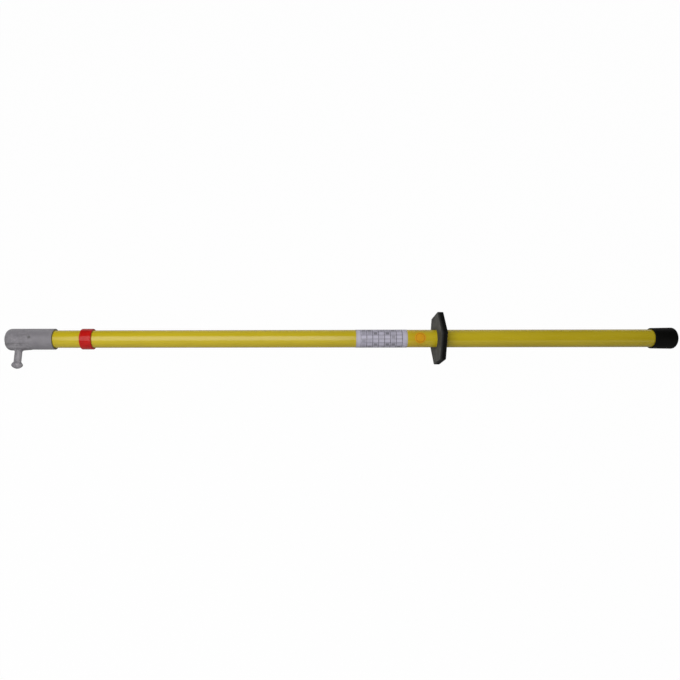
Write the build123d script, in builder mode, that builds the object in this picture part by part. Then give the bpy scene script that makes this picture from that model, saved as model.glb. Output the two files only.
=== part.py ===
from build123d import *
import math
import os

# An insulated operating stick for overhead line and substation work. X runs along the stick, with the
# working head towards -X and the grip towards +X. The origin is the middle of the hand guard's lower
# flat, on which the stick lies. Lengths are in millimetres. A clock angle turns about the stick from
# straight down (-Z) towards the front (-Y).

# The stick as a whole
nose_reach = 789.0  # middle of the hand guard to the tip of the head
grip_length = 417.2  # back face of the hand guard to the end of the cap
tube_diameter = 32.0
tube_wall = 3.0
glue_gap = 0.1  # radial, wherever one piece is bonded over or into another
end_gap = 0.3  # lengthwise, where a piece is pushed home against a shoulder
overrun = 5.0  # how far a cut runs past the face that it starts from
quarter_turn = 90.0

# Hand guard
guard_across_flats = 87.0
guard_thickness = 11.0
guard_corner_radius = 3.5
guard_edge_radius = 1.6
guard_bore_chamfer = 0.6

# Working head, a casting with a socket, a blunt nose, a saddle on one side and a working pin on it
head_length = 91.0
head_diameter = 38.2
nose_crown = 8.5  # how far the nose's face bulges, if it ran out to the head's full diameter
nose_shoulder_radius = 9.5
socket_depth = 54.0
mouth_edge_radius = 2.0
mouth_chamfer = 0.8
saddle_setback = 1.3  # tip of the nose to the saddle's front
saddle_crown = 6.0
saddle_shoulder_radius = 7.0
saddle_diameter = 41.2
saddle_length = 46.2
saddle_ramp = 13.0  # length of the slope down to the saddle's rear step
saddle_step = 0.4
saddle_spread = 102.0  # degrees round the stick
saddle_edge_radius = 0.4
rib_radius = 4.0  # half-round rib across the saddle, in line with the pin
rib_height = 1.3
rib_spread = 88.0  # degrees round the stick, between the centres of its rounded ends

# Working pin, measured outwards from the stick's axis
pin_setback = 25.4  # tip of the nose to the pin's axis
pin_clock = 60.0  # degrees, square to one of the guard's flats
pin_diameter = 12.8
pin_root_radius = 3.5
pin_reach = 54.5
knob_diameter = 19.2
knob_height = 12.3
knob_cone_height = 4.6
knob_rim_height = 2.4
knob_rim_radius = 2.5

# Dowel that locks the head to the tube
lock_edge = 14.0  # bottom of the socket to the dowel's axis
lock_clock = pin_clock + quarter_turn
lock_diameter = 5.0
lock_chamfer = 0.5
lock_clearance = 0.05
lock_sink = 0.5  # how far each end lies below the head's surface
lock_countersink = 0.4
countersink_angle = 90.0

# Filling and seals inside the tube
plug_length = 46.0
rear_seal_thickness = 5.0

# Red limit ring
ring_gap = 49.5  # mouth of the head to the ring
ring_width = 21.2
ring_thickness = 2.9
ring_edge_radius = 1.3

# Rating label, wrapped round the tube
label_gap = 52.8  # front face of the guard to the label
label_length = 92.2
label_thickness = 0.25
label_wrap = 290.0  # degrees
label_clock = 150.0

# Round inspection sticker
sticker_gap = 30.4  # front face of the guard to the sticker's middle
sticker_diameter = 20.0
sticker_thickness = 0.2
sticker_clock = 143.0

# End cap
cap_length = 40.6
cap_mouth_diameter = 37.0
cap_end_diameter = 38.4
cap_end_wall = 5.0
cap_edge_radius = 5.0
cap_mouth_radius = 0.8

# Derived sizes and stations along X
axis_height = guard_across_flats / 2
tube_radius = tube_diameter / 2
tube_bore = tube_radius - tube_wall
seat_radius = tube_radius + glue_gap
filling_radius = tube_bore - glue_gap
head_radius = head_diameter / 2
saddle_radius = saddle_diameter / 2
guard_front = -guard_thickness / 2
guard_back = guard_thickness / 2
nose_tip = -nose_reach
head_mouth = nose_tip + head_length
socket_bottom = head_mouth - socket_depth
pin_station = nose_tip + pin_setback
lock_station = socket_bottom + lock_edge
cap_end = guard_back + grip_length
cap_mouth = cap_end - cap_length
tube_front = socket_bottom + end_gap
tube_back = cap_end - cap_end_wall - end_gap

stick_axis = Axis((0, 0, axis_height), (1, 0, 0))
lengthwise = Plane(origin=(0, 0, axis_height), x_dir=(1, 0, 0), z_dir=(0, -1, 0))


def clock_direction(angle):
    """Outward direction at a clock angle."""
    turn = math.radians(angle)
    return Vector(0, -math.sin(turn), -math.cos(turn))


def across(station):
    """Plane square to the stick at a station, facing +X, with its own y upwards."""
    return Plane(origin=(station, 0, axis_height), x_dir=(0, 1, 0), z_dir=(1, 0, 0))


def outward(station, angle):
    """Plane through the stick's axis that faces out at a clock angle, with its own x along the stick."""
    return Plane(origin=(station, 0, axis_height), x_dir=(1, 0, 0), z_dir=clock_direction(angle))


def beside(station, angle):
    """Plane that holds the stick's axis and the outward direction, which is its own y."""
    out = clock_direction(angle)
    return Plane(origin=(station, 0, axis_height), x_dir=(1, 0, 0), z_dir=Vector(1, 0, 0).cross(out))


def off_axis(shape):
    """How far a shape's middle lies from the stick's axis."""
    middle = shape.center()
    return math.hypot(middle.Y, middle.Z - axis_height)


os.makedirs("parts", exist_ok=True)

# Working head: socket, blunt nose, saddle and rib turned about the stick, then the pin turned about its
# own axis
lock_hole_radius = lock_diameter / 2 + lock_clearance
pin_radius = pin_diameter / 2
knob_radius = knob_diameter / 2
cone_start = pin_reach - knob_height
rim_start = cone_start + knob_cone_height
rim_end = rim_start + knob_rim_height

with BuildPart() as working_head:
    with BuildSketch(lengthwise) as head_profile:
        with BuildLine():
            nose_corner = (nose_tip + nose_crown, head_radius)
            TangentArc((nose_tip, 0), nose_corner, tangent=(0, 1))
            Polyline(nose_corner, (head_mouth, head_radius), (head_mouth, 0), (nose_tip, 0))
        make_face()
        head_corners = head_profile.vertices().group_by(Axis.Y)[-1].sort_by(Axis.X)
        fillet(head_corners[0], radius=nose_shoulder_radius)
        fillet(head_corners[-1], radius=mouth_edge_radius)
    revolve(axis=stick_axis)

    with BuildSketch(beside(nose_tip + saddle_setback, pin_clock + saddle_spread / 2)) as saddle_profile:
        with BuildLine():
            saddle_corner = (saddle_crown, saddle_radius)
            TangentArc((0, 0), saddle_corner, tangent=(0, 1))
            Polyline(saddle_corner, (saddle_length - saddle_ramp, saddle_radius),
                     (saddle_length, head_radius + saddle_step), (saddle_length, 0), (0, 0))
        make_face()
        saddle_top = saddle_profile.vertices().group_by(Axis.Y)[-1].sort_by(Axis.X)
        fillet(saddle_top[0], radius=saddle_shoulder_radius)
    revolve(axis=stick_axis, revolution_arc=saddle_spread)
    saddle_sides = working_head.edges(Select.LAST).filter_by(GeomType.LINE).filter_by(
        lambda edge: off_axis(edge) > (head_radius + saddle_radius) / 2
    )
    fillet(saddle_sides, radius=saddle_edge_radius)

    rib_centre = saddle_radius + rib_height - rib_radius
    with BuildSketch(beside(pin_station, pin_clock + rib_spread / 2)):
        with Locations((0, rib_centre)):
            Circle(rib_radius)
    revolve(axis=stick_axis, revolution_arc=rib_spread)
    for rib_end_clock in (pin_clock - rib_spread / 2, pin_clock + rib_spread / 2):
        with Locations(outward(pin_station, rib_end_clock).offset(rib_centre)):
            Sphere(rib_radius)

    with BuildSketch(beside(pin_station, pin_clock)) as pin_profile:
        with BuildLine():
            Polyline((0, pin_reach), (0, 0), (pin_radius, 0), (pin_radius, cone_start),
                     (knob_radius, rim_start), (knob_radius, rim_end))
            TangentArc((0, pin_reach), (knob_radius, rim_end), tangent=(1, 0))
        make_face()
        fillet(pin_profile.vertices().group_by(Axis.X)[-1], radius=knob_rim_radius)
    revolve(axis=Axis((pin_station, 0, axis_height), clock_direction(pin_clock)))
    pin_root = working_head.edges(Select.LAST).filter_by(GeomType.BSPLINE)
    fillet(pin_root, radius=pin_root_radius)

    with BuildSketch(across(head_mouth)):
        Circle(seat_radius)
    extrude(amount=-socket_depth, mode=Mode.SUBTRACT)
    mouth_bore = working_head.faces().sort_by(Axis.X)[-1].inner_wires()[0].edges()
    chamfer(mouth_bore, length=mouth_chamfer)

    for side_clock in (lock_clock, lock_clock + 2 * quarter_turn):
        with Locations(outward(lock_station, side_clock).offset(head_radius)):
            hole_mouth_radius = lock_hole_radius + lock_countersink
            CounterSinkHole(lock_hole_radius, hole_mouth_radius, head_radius, countersink_angle)
working_head.part.label = "working_head"
export_step(working_head.part, "parts/working_head.step")

# Insulating tube, drilled for the dowel
with BuildPart() as insulating_tube:
    with BuildSketch(across(tube_front)):
        Circle(tube_radius)
        Circle(tube_bore, mode=Mode.SUBTRACT)
    extrude(amount=tube_back - tube_front)
    with BuildSketch(outward(lock_station, lock_clock)):
        Circle(lock_hole_radius)
    extrude(amount=tube_radius + overrun, both=True, mode=Mode.SUBTRACT)
insulating_tube.part.label = "insulating_tube"
export_step(insulating_tube.part, "parts/insulating_tube.step")

# Solid plug that backs the tube's wall where the dowel crosses it
with BuildPart() as front_plug:
    with BuildSketch(across(tube_front)):
        Circle(filling_radius)
    extrude(amount=plug_length)
    with BuildSketch(outward(lock_station, lock_clock)):
        Circle(lock_hole_radius)
    extrude(amount=tube_radius, both=True, mode=Mode.SUBTRACT)
front_plug.part.label = "front_plug"
export_step(front_plug.part, "parts/front_plug.step")

# Closed-cell foam that fills the tube, and the disc that seals its grip end
foam_front = tube_front + plug_length
foam_back = tube_back - rear_seal_thickness
with BuildPart() as foam_core:
    with BuildSketch(across(foam_front)):
        Circle(filling_radius)
    extrude(amount=foam_back - foam_front)
foam_core.part.label = "foam_core"
export_step(foam_core.part, "parts/foam_core.step")

with BuildPart() as rear_seal:
    with BuildSketch(across(foam_back)):
        Circle(filling_radius)
    extrude(amount=rear_seal_thickness)
rear_seal.part.label = "rear_seal"
export_step(rear_seal.part, "parts/rear_seal.step")

# Dowel, driven through the head, the tube and the plug
with BuildPart() as lock_pin:
    with BuildSketch(outward(lock_station, lock_clock)):
        Circle(lock_diameter / 2)
    extrude(amount=head_radius - lock_sink, both=True)
    chamfer(lock_pin.edges().filter_by(GeomType.CIRCLE), length=lock_chamfer)
lock_pin.part.label = "lock_pin"
export_step(lock_pin.part, "parts/lock_pin.step")

# Limit ring, bonded on the tube
ring_front = head_mouth + ring_gap
with BuildPart() as limit_ring:
    with BuildSketch(lengthwise):
        with BuildLine():
            ring_outer = seat_radius + ring_thickness
            ring_back = ring_front + ring_width
            Polyline((ring_front, seat_radius), (ring_back, seat_radius), (ring_back, ring_outer),
                     (ring_front, ring_outer), close=True)
        ring_section = make_face()
        fillet(ring_section.vertices().group_by(Axis.Y)[-1], radius=ring_edge_radius)
    revolve(axis=stick_axis)
limit_ring.part.label = "limit_ring"
export_step(limit_ring.part, "parts/limit_ring.step")

# Hand guard, a thick hexagonal plate with a flat straight down
with BuildPart() as hand_guard:
    with BuildSketch(across(0)) as guard_outline:
        RegularPolygon(guard_across_flats / 2, 6, major_radius=False)
        fillet(guard_outline.vertices(), radius=guard_corner_radius)
    extrude(amount=guard_thickness / 2, both=True)
    guard_faces = hand_guard.faces().sort_by(Axis.X)
    fillet(guard_faces[0].edges() + guard_faces[-1].edges(), radius=guard_edge_radius)
    with BuildSketch(across(guard_front)):
        Circle(seat_radius)
    extrude(amount=guard_thickness, mode=Mode.SUBTRACT)
    guard_faces = hand_guard.faces().sort_by(Axis.X)
    bore_edges = guard_faces[0].inner_wires()[0].edges() + guard_faces[-1].inner_wires()[0].edges()
    chamfer(bore_edges, length=guard_bore_chamfer)
hand_guard.part.label = "hand_guard"
export_step(hand_guard.part, "parts/hand_guard.step")

# Rating label, a film wrapped most of the way round the tube
with BuildPart() as rating_label:
    label_back = guard_front - label_gap
    label_inner = seat_radius
    label_outer = label_inner + label_thickness
    label_middle = clock_direction(label_clock)
    with BuildSketch(Plane(origin=(label_back, 0, axis_height), x_dir=label_middle, z_dir=(1, 0, 0))):
        with BuildLine():
            inner_arc = CenterArc((0, 0), label_inner, -label_wrap / 2, label_wrap)
            outer_arc = CenterArc((0, 0), label_outer, -label_wrap / 2, label_wrap)
            Line(inner_arc @ 0, outer_arc @ 0)
            Line(inner_arc @ 1, outer_arc @ 1)
        make_face()
    extrude(amount=-label_length)
rating_label.part.label = "rating_label"
export_step(rating_label.part, "parts/rating_label.step")

# Inspection sticker, a disc cut from a thin sleeve round the tube
with BuildPart() as inspection_sticker:
    sticker_station = guard_front - sticker_gap
    with BuildSketch(across(sticker_station)):
        Circle(seat_radius + sticker_thickness)
        Circle(seat_radius, mode=Mode.SUBTRACT)
    extrude(amount=sticker_diameter / 2, both=True)
    with BuildSketch(outward(sticker_station, sticker_clock)):
        Circle(sticker_diameter / 2)
    extrude(amount=tube_diameter, mode=Mode.INTERSECT)
inspection_sticker.part.label = "inspection_sticker"
export_step(inspection_sticker.part, "parts/inspection_sticker.step")

# End cap, pushed over the tube
with BuildPart() as end_cap:
    with BuildSketch(lengthwise):
        with BuildLine():
            bore_end = cap_end - cap_end_wall
            Polyline((bore_end, 0), (cap_end, 0), (cap_end, cap_end_diameter / 2),
                     (cap_mouth, cap_mouth_diameter / 2), (cap_mouth, seat_radius),
                     (bore_end, seat_radius), close=True)
        cap_section = make_face()
        end_corner, mouth_corner = cap_section.vertices().sort_by(Axis.Y)[-1:-3:-1]
        fillet(end_corner, radius=cap_edge_radius)
        fillet(mouth_corner, radius=cap_mouth_radius)
    revolve(axis=stick_axis)
end_cap.part.label = "end_cap"
export_step(end_cap.part, "parts/end_cap.step")
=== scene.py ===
import math
from collections import namedtuple

import bpy
from mathutils import Matrix, Vector


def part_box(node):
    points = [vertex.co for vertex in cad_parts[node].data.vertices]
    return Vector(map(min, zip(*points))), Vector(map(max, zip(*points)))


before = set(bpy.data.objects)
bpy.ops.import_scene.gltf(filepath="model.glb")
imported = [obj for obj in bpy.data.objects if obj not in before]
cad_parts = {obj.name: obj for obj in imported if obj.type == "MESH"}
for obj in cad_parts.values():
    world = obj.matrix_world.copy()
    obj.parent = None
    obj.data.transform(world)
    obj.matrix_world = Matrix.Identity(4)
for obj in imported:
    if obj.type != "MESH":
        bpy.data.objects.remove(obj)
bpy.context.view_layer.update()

# Places on the stick, which lies along X with its head towards -X, in metres


def ends(node):
    """Where a CAD node starts and ends along the stick."""
    low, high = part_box(node)
    return low.x, high.x


def middle(node):
    """The middle of a CAD node's box."""
    low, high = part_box(node)
    return (low + high) / 2


NOSE_TIP, HEAD_MOUTH = ends("working_head")
RING_FRONT, RING_BACK = ends("limit_ring")
LABEL_FRONT, LABEL_BACK = ends("rating_label")
GUARD_FRONT, GUARD_BACK = ends("hand_guard")
CAP_MOUTH = ends("end_cap")[0]
GUARD_MIDDLE = middle("hand_guard").x
STICKER_MIDDLE = middle("inspection_sticker").x
AXIS_HEIGHT = middle("insulating_tube").z
TUBE_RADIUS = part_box("insulating_tube")[1].y

# Directions out from the stick's axis, as angles up from straight in front (-Y)
QUARTER_TURN = math.radians(90.0)
PIN_LIFT = math.radians(-30.0)
# the direction in which the painted shadow of the tube lies across the guard's face
SHADOW_LIFT = math.radians(47.0)


# Camera

IMAGE_PIXELS = 680
FOCAL_PIXELS = 569.4
CENTRE_PIXEL = 300.0  # the column on which the camera's axis falls
SENSOR_WIDTH = 36.0
VIEW_ELEVATION = math.radians(47.4)
VIEW_YAW = math.radians(-0.6)
VIEW_ROLL = math.radians(0.093)
CAMERA_STATION = -0.2405
CAMERA_DISTANCE = 1.036
CAMERA_DROP = 0.0022

towards_camera = Vector((0, -math.cos(VIEW_ELEVATION), math.sin(VIEW_ELEVATION)))
image_up = Vector((0, math.sin(VIEW_ELEVATION), math.cos(VIEW_ELEVATION)))
along_stick = Vector((1, 0, 0))


def facing(right, up, place):
    """A matrix at place, with its X axis along right and its Y axis along up."""
    back = right.cross(up)
    turn = Matrix((right, up, back)).transposed()
    return Matrix.Translation(place) @ turn.to_4x4()


def make_camera():
    level = along_stick * math.cos(VIEW_YAW) + towards_camera * math.sin(VIEW_YAW)
    up = image_up * math.cos(VIEW_ROLL) + level * math.sin(VIEW_ROLL)
    right = level * math.cos(VIEW_ROLL) - image_up * math.sin(VIEW_ROLL)
    data = bpy.data.cameras.new("camera")
    data.sensor_width = SENSOR_WIDTH
    data.lens = SENSOR_WIDTH * FOCAL_PIXELS / IMAGE_PIXELS
    data.shift_x = (IMAGE_PIXELS / 2 - CENTRE_PIXEL) / IMAGE_PIXELS
    camera = bpy.data.objects.new("camera", data)
    place = Vector((CAMERA_STATION, 0, AXIS_HEIGHT))
    place += towards_camera * CAMERA_DISTANCE - image_up * CAMERA_DROP
    camera.matrix_world = facing(right, up, place)
    bpy.context.scene.collection.objects.link(camera)
    bpy.context.scene.camera = camera


make_camera()


# Node helpers

WHITE = (1, 1, 1, 1)
RISING = (0.0, 1.0)
FALLING = (1.0, 0.0)
NOISE_RANGE = (0.3, 0.7)  # where most of a noise's values lie

# How well a face's direction and its rounded form's agree, away from an edge and on it
FLAT_MATCH, EDGE_MATCH = 0.995, 0.85


def new_tree(name):
    material = bpy.data.materials.new(name)
    material.use_nodes = True
    return material, material.node_tree


def add(tree, kind, inputs=None, **settings):
    """A node with its settings made and its inputs linked or filled in."""
    node = tree.nodes.new(kind)
    for name, value in settings.items():
        setattr(node, name, value)
    for key, value in (inputs or {}).items():
        if isinstance(value, bpy.types.NodeSocket):
            tree.links.new(value, node.inputs[key])
        else:
            node.inputs[key].default_value = value
    return node


def maths(tree, operation, first, second=0.0, clamp=False):
    node = add(tree, "ShaderNodeMath", {0: first, 1: second}, operation=operation, use_clamp=clamp)
    return node.outputs[0]


def product(tree, first, *others):
    """All of these multiplied together."""
    for other in others:
        first = maths(tree, "MULTIPLY", first, other)
    return first


def position(tree):
    return add(tree, "ShaderNodeTexCoord").outputs["Object"]


def coordinates(tree):
    """X, Y and height above the stick's axis, each as a socket."""
    parts = add(tree, "ShaderNodeSeparateXYZ", {0: position(tree)})
    height = maths(tree, "SUBTRACT", parts.outputs[2], AXIS_HEIGHT)
    return parts.outputs[0], parts.outputs[1], height


def lift_from_front(tree, y, height):
    """Angle round the stick, up from straight in front."""
    return maths(tree, "ARCTAN2", height, product(tree, y, -1.0))


def turn_from_top(tree, y, height):
    """Angle round the stick from straight up, positive towards the back."""
    return maths(tree, "ARCTAN2", y, height)


def reach_towards(tree, y, height, lift):
    """How far out from the stick's axis a point lies, in the direction at this lift."""
    return maths(tree, "ADD", product(tree, y, -math.cos(lift)), product(tree, height, math.sin(lift)))


def stretched(tree, scales):
    """The position, with each of X, Y and Z multiplied by its own scale."""
    node = add(tree, "ShaderNodeVectorMath", {0: position(tree), 1: scales}, operation="MULTIPLY")
    return node.outputs[0]


def noise(tree, scales, detail=3.0, roughness=0.5, distortion=0.0):
    """Noise whose scales along X, Y and Z are in cycles per metre."""
    inputs = {
        "Vector": stretched(tree, scales),
        "Scale": 1.0,
        "Detail": detail,
        "Roughness": roughness,
        "Distortion": distortion,
    }
    return add(tree, "ShaderNodeTexNoise", inputs).outputs["Fac"]


def cells(tree, per_metre):
    """Distance from the middle of the nearest of many random cells."""
    inputs = {"Vector": stretched(tree, (per_metre, per_metre, per_metre)), "Scale": 1.0}
    return add(tree, "ShaderNodeTexVoronoi", inputs, feature="F1").outputs["Distance"]


def remap(tree, value, source, target=RISING, smooth=False):
    """Value carried from the range source to the range target, and held at its ends."""
    inputs = {
        "Value": value,
        "From Min": source[0],
        "From Max": source[1],
        "To Min": target[0],
        "To Max": target[1],
    }
    interpolation = "SMOOTHSTEP" if smooth else "LINEAR"
    return add(tree, "ShaderNodeMapRange", inputs, interpolation_type=interpolation).outputs["Result"]


def solid(colour):
    return colour if isinstance(colour, bpy.types.NodeSocket) else (*colour, 1.0)


def mix(tree, share, first, second):
    """A colour between first, where share is 0, and second, where it is 1."""
    inputs = {"Factor": share, 6: solid(first), 7: solid(second)}
    return add(tree, "ShaderNodeMix", inputs, data_type="RGBA", blend_type="MIX").outputs[2]


def mottled(tree, pattern, dark, pale):
    """A colour that wanders between dark and pale as the noise does."""
    return mix(tree, remap(tree, pattern, NOISE_RANGE), dark, pale)


def cover(tree, colour, layer, share, most=1.0):
    """Colour with a layer over it, which hides share times most of what is below."""
    return mix(tree, product(tree, share, most), colour, layer)


def near(tree, value, centre, reach):
    """1 where value is at centre, falling to 0 at reach on either side."""
    gap = maths(tree, "ABSOLUTE", maths(tree, "SUBTRACT", value, centre))
    return remap(tree, gap, (0.0, reach), FALLING, smooth=True)


def near_any(tree, value, centres, reach):
    """1 where value is at any of these centres, falling to 0 at reach on either side."""
    closest = near(tree, value, centres[0], reach)
    for centre in centres[1:]:
        closest = maths(tree, "MAXIMUM", closest, near(tree, value, centre, reach))
    return closest


def hollows(tree, reach):
    """1 deep in a corner between surfaces, 0 in the open."""
    shade = add(tree, "ShaderNodeAmbientOcclusion", {"Distance": reach}, samples=8)
    return maths(tree, "SUBTRACT", 1.0, shade.outputs["AO"], clamp=True)


def edges(tree, radius):
    """1 on a sharp outer or inner edge, 0 away from edges."""
    rounded = add(tree, "ShaderNodeBevel", {"Radius": radius}, samples=4)
    flat = add(tree, "ShaderNodeNewGeometry").outputs["Normal"]
    match = add(tree, "ShaderNodeVectorMath", {0: rounded.outputs[0], 1: flat}, operation="DOT_PRODUCT")
    return remap(tree, match.outputs["Value"], (FLAT_MATCH, EDGE_MATCH))


def bump(tree, height, depth, strength, below=None):
    """A normal tilted by height, on top of the bumps below it if there are any."""
    inputs = {"Height": height, "Distance": depth, "Strength": strength}
    if below is not None:
        inputs["Normal"] = below
    return add(tree, "ShaderNodeBump", inputs).outputs["Normal"]


def finish_shader(tree, colour, roughness, normal, **fixed):
    shader = tree.nodes["Principled BSDF"]
    for key, value in {"Base Color": colour, "Roughness": roughness, "Normal": normal}.items():
        tree.links.new(value, shader.inputs[key])
    for key, value in fixed.items():
        shader.inputs[key.replace("_", " ")].default_value = value


# Head

DULL_AND_SHADE_GREY = (0.130, 0.125, 0.132)


def knocked_nose_and_ledge_highlight(tree, colour, x, lift):
    """Colour with dull knocks on the head's nose end, random rubbed pale patches there, and a pale band
    painted just inside the saddle's upper edge as a highlight.
    """
    rubbed_and_highlight_grey = (0.380, 0.365, 0.385)
    ledge_lift, ledge_spread = 0.12, 0.26
    knocks = noise(tree, (170, 240, 240), detail=3.0, roughness=0.6)
    nose_end = remap(tree, x, (NOSE_TIP + 0.039, NOSE_TIP + 0.067), FALLING, smooth=True)
    dull = product(tree, remap(tree, knocks, (0.50, 0.28)), nose_end)
    colour = cover(tree, colour, DULL_AND_SHADE_GREY, dull, most=0.40)
    # painted highlight: a pale band just inside the saddle's upper edge, where the ledge faces the light
    painted_ledge_highlight = product(
        tree,
        near(tree, lift, ledge_lift, ledge_spread),
        remap(tree, knocks, (0.35, 0.60), (0.20, 0.65)),
        remap(tree, x, (NOSE_TIP + 0.002, NOSE_TIP + 0.010)),
    )
    rubbed_and_highlight = maths(tree, "MAXIMUM", remap(tree, knocks, (0.54, 0.72), (0.0, 0.45)), painted_ledge_highlight)
    return cover(tree, colour, rubbed_and_highlight_grey, product(tree, rubbed_and_highlight, nose_end))


def painted_shade_and_light_on_head(tree, colour, x, lift):
    """Colour with painted shade on the lower side of the nose tip and painted light along the top of the
    head.
    """
    top_light_grey = (0.360, 0.345, 0.370)
    top_lift, top_spread = 2.0, 0.75
    low_down = remap(tree, lift, (0.70, 0.30))
    on_nose = remap(tree, x, (NOSE_TIP + 0.015, NOSE_TIP + 0.008))
    # painted shade: the lower side of the nose tip darkened
    colour = cover(tree, colour, DULL_AND_SHADE_GREY, product(tree, low_down, on_nose), most=0.65)
    # painted light: the top of the head made paler where more light falls
    return cover(tree, colour, top_light_grey, near(tree, lift, top_lift, top_spread), most=0.40)


def pin_lit_side(tree, colour, x, y, height):
    """Colour with the pin's +X half painted paler, as painted light falling from that side."""
    painted_light_grey = (0.460, 0.440, 0.460)
    on_pin = remap(tree, reach_towards(tree, y, height, PIN_LIFT), (0.022, 0.026))
    plus_x_side = remap(tree, x, (NOSE_TIP + 0.0265, NOSE_TIP + 0.0295))
    # painted light on the pin's +X half
    return cover(tree, colour, painted_light_grey, product(tree, on_pin, plus_x_side), most=0.45)


def head_alloy():
    """Grey cast alloy, tumbled matt, with painted shade darkening its corners and pale edges that are
    partly bare metal and partly a painted highlight.
    """
    material, tree = new_tree("head_alloy")
    x, y, height = coordinates(tree)
    lift = lift_from_front(tree, y, height)
    cast_dark, cast_pale = (0.214, 0.202, 0.220), (0.262, 0.250, 0.268)
    grain_grey, shade_black = (0.190, 0.181, 0.196), (0.085, 0.082, 0.086)
    bare_metal_and_highlight = (0.42, 0.41, 0.42)
    blotches = noise(tree, (70, 70, 70), detail=4.0, roughness=0.6)
    grain = noise(tree, (1400, 1400, 1400), detail=3.0, roughness=0.65)
    pits = remap(tree, cells(tree, per_metre=520), (0.08, 0.3))
    # painted shade: the colour is darkened where ambient occlusion finds a corner
    painted_shade = remap(tree, hollows(tree, reach=0.006), (0.06, 0.55))
    colour = mottled(tree, blotches, cast_dark, cast_pale)
    colour = cover(tree, colour, grain_grey, remap(tree, grain, (0.35, 0.65)), most=0.35)
    colour = cover(tree, colour, shade_black, painted_shade, most=0.75)
    # pale edges: partly worn bare metal, partly a painted highlight along edges that catch the light
    colour = cover(tree, colour, bare_metal_and_highlight, edges(tree, radius=0.0008), most=0.45)
    colour = knocked_nose_and_ledge_highlight(tree, colour, x, lift)
    colour = painted_shade_and_light_on_head(tree, colour, x, lift)
    colour = pin_lit_side(tree, colour, x, y, height)
    roughness = remap(tree, blotches, NOISE_RANGE, (0.52, 0.66))
    normal = bump(tree, pits, depth=0.00008, strength=0.6)
    normal = bump(tree, grain, depth=0.00012, strength=0.8, below=normal)
    finish_shader(tree, colour, roughness, normal, Metallic=0.2, Diffuse_Roughness=0.35)
    return material


def dowel_steel():
    """Dull ground steel of the dowel's ends."""
    material, tree = new_tree("dowel_steel")
    dark, pale = (0.13, 0.125, 0.13), (0.19, 0.185, 0.19)
    drawn = noise(tree, (900, 900, 900), detail=2.0)
    stains = remap(tree, noise(tree, (300, 300, 300), detail=3.0), (0.35, 0.65))
    colour = mix(tree, stains, dark, pale)
    roughness = remap(tree, stains, (0.0, 1.0), (0.32, 0.48))
    normal = bump(tree, drawn, depth=0.00003, strength=0.6)
    finish_shader(tree, colour, roughness, normal, Metallic=0.6)
    return material


# Tube and ring


def soiled_joints(tree, colour, x, patches):
    """Colour with a narrow band of grime where the head, the ring and the cap end on the tube."""
    brown = (0.17, 0.125, 0.015)
    joints = near_any(tree, x, (HEAD_MOUTH, RING_FRONT, RING_BACK, CAP_MOUTH), reach=0.0022)
    return cover(tree, colour, brown, product(tree, joints, remap(tree, patches, NOISE_RANGE, (0.2, 0.7))))


def guard_shadow_on_tube(tree, colour, x, patches):
    """Colour with a mottled brown painted shadow of the guard on the tube, on its grip side, darkest close
    to the guard.
    """
    shadow_brown, deep_shadow_brown = (0.105, 0.058, 0.003), (0.030, 0.016, 0.002)
    shadow_station, shadow_reach = GUARD_BACK - 0.0005, 0.0155
    deep_shadow_station, deep_shadow_reach = GUARD_BACK - 0.0025, 0.0115
    grip_side = remap(tree, x, (GUARD_MIDDLE, shadow_station))
    uneven = remap(tree, patches, NOISE_RANGE, (0.75, 1.0))
    painted_shadow = product(tree, near(tree, x, shadow_station, shadow_reach), uneven, grip_side)
    # painted shadow of the guard on the tube
    colour = cover(tree, colour, shadow_brown, painted_shadow)
    deep_painted_shadow = product(tree, near(tree, x, deep_shadow_station, deep_shadow_reach), grip_side)
    return cover(tree, colour, deep_shadow_brown, deep_painted_shadow, most=0.6)


def stained_by_sticker(tree, colour, x):
    """Colour with a faint orange stain from the label's end to just past the sticker."""
    orange = (0.50, 0.25, 0.004)
    start = remap(tree, x, (LABEL_BACK + 0.0003, LABEL_BACK + 0.0083))
    end = remap(tree, x, (STICKER_MIDDLE + 0.0019, STICKER_MIDDLE + 0.0179), FALLING)
    return cover(tree, colour, orange, product(tree, start, end), most=0.30)


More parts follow.
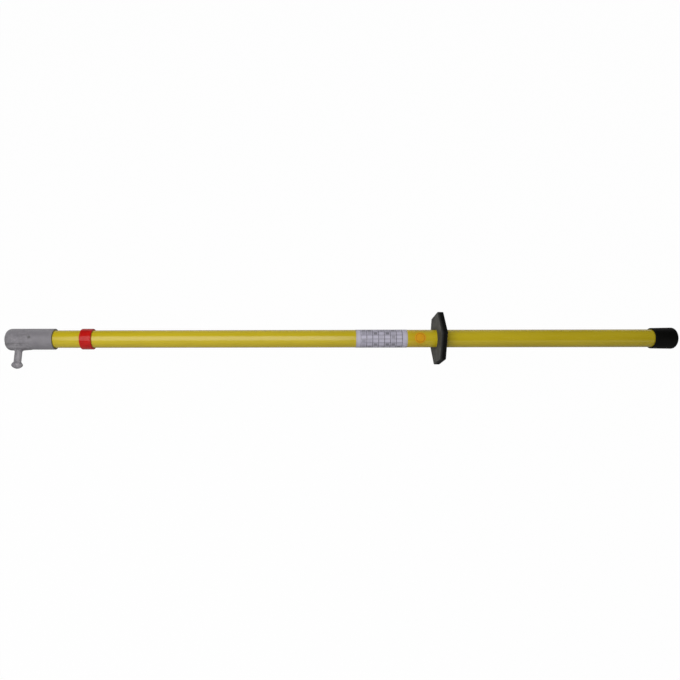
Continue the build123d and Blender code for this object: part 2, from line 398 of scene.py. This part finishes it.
def yellow_glass_fibre():
    """Satin gel coat over lengthwise glass fibres, scuffed on the grip side and dirty by the joints, with a
    painted shadow beside the guard.
    """
    material, tree = new_tree("yellow_glass_fibre")
    x, _, _ = coordinates(tree)
    gel_dark, gel_pale = (0.475, 0.360, 0.006), (0.555, 0.428, 0.010)
    fibre_yellow, scuff_yellow = (0.62, 0.49, 0.020), (0.52, 0.43, 0.070)
    handled_from, handled_to = -0.1, 0.1
    clouds = noise(tree, (7, 40, 40), detail=3.0, roughness=0.55)
    fibres = noise(tree, (30, 2600, 2600), detail=2.0, roughness=0.5)
    peel = noise(tree, (300, 420, 420), detail=1.0)
    scratches = noise(tree, (60, 900, 900), detail=4.0, roughness=0.7, distortion=0.6)
    patches = noise(tree, (250, 250, 250))
    handled = remap(tree, x, (handled_from, handled_to), (0.25, 1.0), smooth=True)
    scuffs = product(tree, remap(tree, scratches, (0.60, 0.72)), handled)
    colour = mottled(tree, clouds, gel_dark, gel_pale)
    colour = cover(tree, colour, fibre_yellow, remap(tree, fibres, (0.35, 0.7)), most=0.30)
    colour = cover(tree, colour, scuff_yellow, scuffs, most=0.30)
    colour = soiled_joints(tree, colour, x, patches)
    colour = guard_shadow_on_tube(tree, colour, x, patches)
    colour = stained_by_sticker(tree, colour, x)
    roughness = remap(tree, clouds, NOISE_RANGE, (0.17, 0.23))
    roughness = maths(tree, "ADD", roughness, product(tree, scuffs, 0.22))
    normal = bump(tree, peel, depth=0.00005, strength=0.35)
    normal = bump(tree, fibres, depth=0.000012, strength=0.5, below=normal)
    finish_shader(tree, colour, roughness, normal, IOR=1.5)
    return material


def red_plastic():
    """Moulded red plastic, paler along its edges."""
    material, tree = new_tree("red_plastic")
    dark, pale, worn = (0.43, 0.006, 0.005), (0.51, 0.010, 0.007), (0.58, 0.08, 0.06)
    clouds = noise(tree, (90, 90, 90), detail=3.0)
    flow = noise(tree, (260, 900, 900), detail=2.0)
    colour = mottled(tree, clouds, dark, pale)
    colour = cover(tree, colour, worn, edges(tree, radius=0.0006), most=0.35)
    roughness = remap(tree, flow, NOISE_RANGE, (0.13, 0.20))
    normal = bump(tree, flow, depth=0.00003, strength=0.3)
    finish_shader(tree, colour, roughness, normal, IOR=1.5, Specular_IOR_Level=0.22)
    return material


# Label and sticker

# A row of boxes along a coordinate: where the first starts, their pitch, the width of the line between
# two boxes, and the half width of the tint inside one, as a share of the pitch
Grid = namedtuple("Grid", "coordinate start pitch line field")
HALF_BOX = 0.5


def place_in_grid(tree, grid):
    """A point's place in the row, in boxes from its start, and how far it is from its box's middle."""
    place = maths(tree, "DIVIDE", maths(tree, "SUBTRACT", grid.coordinate, grid.start), grid.pitch)
    from_middle = maths(tree, "SUBTRACT", maths(tree, "FRACT", place), HALF_BOX)
    return place, maths(tree, "ABSOLUTE", from_middle)


def ruled(tree, grid):
    """1 on the lines between the boxes, 0 inside the boxes."""
    _, from_middle = place_in_grid(tree, grid)
    width = grid.line / grid.pitch
    return remap(tree, from_middle, (HALF_BOX - width, HALF_BOX - width / 2))


def empty_fields(tree, *grids):
    """A tint inside each box, clear of its lines, from none to fairly dark."""
    soft_edge = 0.02
    no_tint_up_to, full_tint_from, full_tint = 0.3, 0.9, 0.85
    boxes = []
    inside = 1.0
    for grid in grids:
        place, from_middle = place_in_grid(tree, grid)
        boxes.append(maths(tree, "FLOOR", place))
        within = remap(tree, from_middle, (grid.field, grid.field + soft_edge), FALLING)
        inside = product(tree, inside, within)
    box = add(tree, "ShaderNodeCombineXYZ", {0: boxes[0], 1: boxes[1]}).outputs[0]
    chance = add(tree, "ShaderNodeTexWhiteNoise", {"Vector": box}, noise_dimensions="2D").outputs["Value"]
    return product(tree, inside, remap(tree, chance, (no_tint_up_to, full_tint_from), (0.0, full_tint)))


def blank_form(tree, colour, x, turn, crinkle):
    """Colour with a form printed over it, whose boxes are ruled and some tinted, and none filled in."""
    line_grey, field_grey = (0.085, 0.082, 0.095), (0.16, 0.155, 0.175)
    front_margin, back_margin, margin_fade = 0.008, 0.0082, 0.0005
    columns = Grid(coordinate=x, start=LABEL_FRONT + 0.0083, pitch=0.0106, line=0.0009, field=0.30)
    rows = Grid(coordinate=turn, start=0.10, pitch=0.44, line=0.040, field=0.34)
    form_front, form_back = LABEL_FRONT + front_margin, LABEL_BACK - back_margin
    inside = product(
        tree,
        remap(tree, x, (form_front, form_front + margin_fade)),
        remap(tree, x, (form_back - margin_fade, form_back), FALLING),
    )
    colour = cover(tree, colour, field_grey, product(tree, empty_fields(tree, columns, rows), inside))
    lines = maths(tree, "MAXIMUM", ruled(tree, columns), ruled(tree, rows))
    ink = remap(tree, crinkle, NOISE_RANGE, (0.60, 0.95))
    return cover(tree, colour, line_grey, product(tree, lines, inside, ink))


def label_film():
    """White film with a blank form printed on it, yellowed at its ends."""
    material, tree = new_tree("label_film")
    x, y, height = coordinates(tree)
    film_dark, film_pale, end_yellow = (0.440, 0.420, 0.510), (0.490, 0.468, 0.560), (0.34, 0.30, 0.22)
    clouds = noise(tree, (60, 120, 120), detail=4.0, roughness=0.6)
    crinkle = noise(tree, (500, 700, 700), detail=2.0)
    colour = mottled(tree, clouds, film_dark, film_pale)
    colour = blank_form(tree, colour, x, turn_from_top(tree, y, height), crinkle)
    yellowed = near_any(tree, x, (LABEL_FRONT, LABEL_BACK), reach=0.004)
    colour = cover(tree, colour, end_yellow, yellowed, most=0.45)
    roughness = remap(tree, clouds, NOISE_RANGE, (0.34, 0.46))
    normal = bump(tree, crinkle, depth=0.00004, strength=0.5)
    finish_shader(tree, colour, roughness, normal, IOR=1.46)
    return material


def orange_film():
    """Round orange inspection film, left blank, with a darker printed ring near its edge."""
    material, tree = new_tree("orange_film")
    x, y, height = coordinates(tree)
    dark, pale, ring_orange = (0.61, 0.285, 0.002), (0.71, 0.335, 0.003), (0.36, 0.130, 0.003)
    sticker_turn = math.radians(-37.0)
    ring_radius, ring_reach = 0.0078, 0.0012
    along = maths(tree, "SUBTRACT", x, STICKER_MIDDLE)
    around = maths(tree, "SUBTRACT", turn_from_top(tree, y, height), sticker_turn)
    around = product(tree, around, TUBE_RADIUS)
    squares = maths(tree, "ADD", product(tree, along, along), product(tree, around, around))
    ring = near(tree, maths(tree, "SQRT", squares), ring_radius, ring_reach)
    clouds = noise(tree, (150, 150, 150), detail=3.0)
    crinkle = noise(tree, (700, 700, 700), detail=2.0)
    colour = mottled(tree, clouds, dark, pale)
    colour = cover(tree, colour, ring_orange, ring, most=0.7)
    roughness = remap(tree, clouds, NOISE_RANGE, (0.34, 0.46))
    normal = bump(tree, crinkle, depth=0.00003, strength=0.5)
    finish_shader(tree, colour, roughness, normal, IOR=1.46, Specular_IOR_Level=0.25)
    return material


# Guard and cap


def tube_shadow_on_guard(tree, y, height):
    """1 in a strip of painted shadow of the tube across the guard's face, 0 away from there."""
    half_width, start, end = 0.024, 0.0, 0.012
    sideways = reach_towards(tree, y, height, SHADOW_LIFT + QUARTER_TURN)
    outwards = reach_towards(tree, y, height, SHADOW_LIFT)
    return product(tree, near(tree, sideways, 0.0, half_width), remap(tree, outwards, (start, end)))


def rubber_dust_and_painted_light(tree, clouds, dust_and_sheen_share):
    """How pale the rubber is: dust lies on its end faces and also serves there as a painted sheen; painted
    shade takes it away in corners and in a painted shadow of the tube, and a painted highlight lies along
    the guard's front edge.
    """
    x, y, height = coordinates(tree)
    speck_share, highlight_reach, highlight_share = 0.12, 0.0055, 0.12
    specks = remap(tree, noise(tree, (420, 420, 420), detail=4.0, roughness=0.7), (0.55, 0.75))
    normals = add(tree, "ShaderNodeSeparateXYZ", {0: add(tree, "ShaderNodeNewGeometry").outputs["Normal"]})
    # end faces paler: partly dust, partly a painted sheen
    end_faces = remap(tree, maths(tree, "ABSOLUTE", normals.outputs[0]), (0.75, 0.98))
    dust_and_sheen = product(tree, end_faces, remap(tree, clouds, (0.25, 0.75), (0.35, 1.0)))
    dust_and_sheen = product(tree, maths(tree, "ADD", dust_and_sheen, product(tree, specks, speck_share)), dust_and_sheen_share)
    # painted shade: dust taken away in corners, darkening them
    outside_painted_shade = remap(tree, hollows(tree, reach=0.008), (0.05, 0.6), (1.0, 0.15))
    # painted shadow: dust taken away in a strip across the guard's face beside the tube
    outside_tube_shadow = remap(tree, tube_shadow_on_guard(tree, y, height), (0.0, 0.7), (1.0, 0.5))
    dust_and_sheen = product(tree, dust_and_sheen, outside_painted_shade, outside_tube_shadow)
    # painted highlight: the guard's front face and the front of its rim made paler
    front_edge_highlight = near(tree, x, GUARD_FRONT, highlight_reach)
    return maths(tree, "ADD", dust_and_sheen, product(tree, front_edge_highlight, highlight_share))


def rubber(name, dark, worn, dust_and_light_grey, dust_and_sheen_share, edge_dust_and_highlight_share, specular):
    """Moulded rubber with fine grain, dust that also serves as painted sheen, shade and highlight, and pale
    edges that are partly dust and partly a painted highlight.
    """
    material, tree = new_tree(name)
    clouds = noise(tree, (60, 60, 60), detail=4.0, roughness=0.6)
    grain = noise(tree, (1800, 1800, 1800), detail=2.0, roughness=0.6)
    colour = mottled(tree, clouds, dark, worn)
    colour = cover(tree, colour, dust_and_light_grey, rubber_dust_and_painted_light(tree, clouds, dust_and_sheen_share))
    # pale edges: partly dust, partly a painted highlight
    colour = cover(tree, colour, dust_and_light_grey, edges(tree, radius=0.0020), most=edge_dust_and_highlight_share)
    roughness = remap(tree, clouds, NOISE_RANGE, (0.55, 0.68))
    normal = bump(tree, grain, depth=0.00008, strength=0.7)
    finish_shader(tree, colour, roughness, normal, Specular_IOR_Level=specular)
    return material


def guard_rubber():
    return rubber(
        "guard_rubber",
        dark=(0.0025, 0.0025, 0.0024),
        worn=(0.0055, 0.0055, 0.0052),
        dust_and_light_grey=(0.245, 0.245, 0.232),
        dust_and_sheen_share=0.55,
        edge_dust_and_highlight_share=0.32,
        specular=0.05,
    )


def cap_rubber():
    return rubber(
        "cap_rubber",
        dark=(0.0018, 0.0017, 0.0012),
        worn=(0.0035, 0.0033, 0.0024),
        dust_and_light_grey=(0.030, 0.030, 0.028),
        dust_and_sheen_share=0.15,
        edge_dust_and_highlight_share=0.30,
        specular=0.1,
    )


# Pieces inside the tube


def grained(name, dark, pale, cells_per_metre, depth, roughness_range):
    """A plain material with a fine grain."""
    material, tree = new_tree(name)
    clouds = noise(tree, (90, 90, 90), detail=3.0)
    colour = mottled(tree, clouds, dark, pale)
    roughness = remap(tree, clouds, NOISE_RANGE, roughness_range)
    normal = bump(tree, cells(tree, cells_per_metre), depth, strength=0.8)
    finish_shader(tree, colour, roughness, normal)
    return material


def filling_foam():
    return grained(
        "filling_foam",
        dark=(0.62, 0.58, 0.46),
        pale=(0.72, 0.68, 0.56),
        cells_per_metre=1500,
        depth=0.0002,
        roughness_range=(0.8, 0.95),
    )


def plug_laminate():
    return grained(
        "plug_laminate",
        dark=(0.28, 0.20, 0.10),
        pale=(0.36, 0.26, 0.13),
        cells_per_metre=700,
        depth=0.00005,
        roughness_range=(0.5, 0.65),
    )


def seal_resin():
    return grained(
        "seal_resin",
        dark=(0.10, 0.09, 0.07),
        pale=(0.15, 0.13, 0.10),
        cells_per_metre=400,
        depth=0.00005,
        roughness_range=(0.3, 0.45),
    )


def dress():
    """Give each CAD node its material."""
    materials = {
        "working_head": head_alloy(),
        "lock_pin": dowel_steel(),
        "insulating_tube": yellow_glass_fibre(),
        "limit_ring": red_plastic(),
        "rating_label": label_film(),
        "inspection_sticker": orange_film(),
        "hand_guard": guard_rubber(),
        "end_cap": cap_rubber(),
        "foam_core": filling_foam(),
        "front_plug": plug_laminate(),
        "rear_seal": seal_resin(),
    }
    for name, material in materials.items():
        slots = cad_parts[name].data.materials
        slots.clear()
        slots.append(material)


dress()


# Lamps, floor and world

IN_FRONT, BEHIND = -1, 1

FLOOR_SIDE = 60.0
FLOOR_DROP = 0.0003
FLOOR_TINT = 0.47
FLOOR_SEEN = 0.985
FLOOR_MIRRORED = 0.15

# The world's strength at the horizon and overhead
AMBIENT = (0.08, 0.42)
MIRRORED = (1.0, 0.06)

# Ranges of height in the sky, which is 0 at the horizon and 1 overhead
WHOLE_SKY = (0.0, 1.0)
LOW_SKY = (0.05, 0.5)


def make_softbox(name, radiance, width, station, distance, elevation, across):
    """A square lamp that faces one station of the stick, in front of it or behind it."""
    data = bpy.data.lights.new(name, "AREA")
    data.shape = "SQUARE"
    data.size = width
    data.energy = radiance * math.pi * width**2
    lamp = bpy.data.objects.new(name, data)
    outwards = Vector((0, across * math.cos(elevation), math.sin(elevation)))
    place = Vector((station, 0, AXIS_HEIGHT)) + outwards * distance
    lamp.matrix_world = facing(along_stick, outwards.cross(along_stick), place)
    bpy.context.scene.collection.objects.link(lamp)


def make_lamps():
    make_softbox(
        "softbox",
        radiance=3.1,
        width=1.2,
        station=-0.63,
        distance=1.2,
        elevation=math.radians(54.0),
        across=IN_FRONT,
    )
    make_softbox(
        "back_fill",
        radiance=0.22,
        width=1.6,
        station=-0.2,
        distance=1.5,
        elevation=math.radians(32.0),
        across=BEHIND,
    )


def mirrored_or_through(tree, path):
    """1 for a ray that a surface mirrors or lets through, 0 for others."""
    return maths(tree, "MAXIMUM", path["Is Glossy Ray"], path["Is Transmission Ray"])


def floor_finish():
    """Matt grey to the lamps, almost white to the camera and a little brighter in mirrors."""
    material, tree = new_tree("floor")
    tree.nodes.remove(tree.nodes["Principled BSDF"])
    matt = add(tree, "ShaderNodeBsdfDiffuse", {"Color": (FLOOR_TINT, FLOOR_TINT, FLOOR_TINT, 1)})
    white = add(tree, "ShaderNodeEmission", {"Color": WHITE, "Strength": 1.0})
    path = add(tree, "ShaderNodeLightPath").outputs
    seen = product(tree, path["Is Camera Ray"], FLOOR_SEEN)
    mirrored = product(tree, mirrored_or_through(tree, path), FLOOR_MIRRORED)
    share = maths(tree, "MAXIMUM", seen, mirrored)
    mixed = add(tree, "ShaderNodeMixShader", {0: share, 1: matt.outputs[0], 2: white.outputs[0]})
    tree.links.new(mixed.outputs[0], tree.nodes["Material Output"].inputs["Surface"])
    return material


def make_floor():
    """A floor just below the guard."""
    half = FLOOR_SIDE / 2
    mesh = bpy.data.meshes.new("floor")
    corners = [(x, y, -FLOOR_DROP) for x, y in ((-half, -half), (half, -half), (half, half), (-half, half))]
    mesh.from_pydata(corners, [], [(0, 1, 2, 3)])
    floor = bpy.data.objects.new("floor", mesh)
    bpy.context.scene.collection.objects.link(floor)
    mesh.materials.append(floor_finish())


def background(tree, strength):
    return add(tree, "ShaderNodeBackground", {"Color": WHITE, "Strength": strength}).outputs[0]


def make_world():
    """Soft light from above, pale at the horizon in mirrors and white to the camera."""
    world = bpy.data.worlds.new("world")
    bpy.context.scene.world = world
    world.use_nodes = True
    tree = world.node_tree
    tree.nodes.clear()
    path = add(tree, "ShaderNodeLightPath").outputs
    direction = add(tree, "ShaderNodeTexCoord").outputs["Generated"]
    upward = add(tree, "ShaderNodeSeparateXYZ", {0: direction}).outputs[2]
    ambient = background(tree, remap(tree, upward, WHOLE_SKY, AMBIENT))
    mirrored = background(tree, remap(tree, upward, LOW_SKY, MIRRORED, smooth=True))
    white = background(tree, 1.0)
    gloss = mirrored_or_through(tree, path)
    lit = add(tree, "ShaderNodeMixShader", {0: gloss, 1: ambient, 2: mirrored}).outputs[0]
    seen = add(tree, "ShaderNodeMixShader", {0: path["Is Camera Ray"], 1: lit, 2: white}).outputs[0]
    output = add(tree, "ShaderNodeOutputWorld")
    tree.links.new(seen, output.inputs["Surface"])


make_lamps()
make_floor()
make_world()
bpy.context.scene.view_settings.view_transform = "Standard"
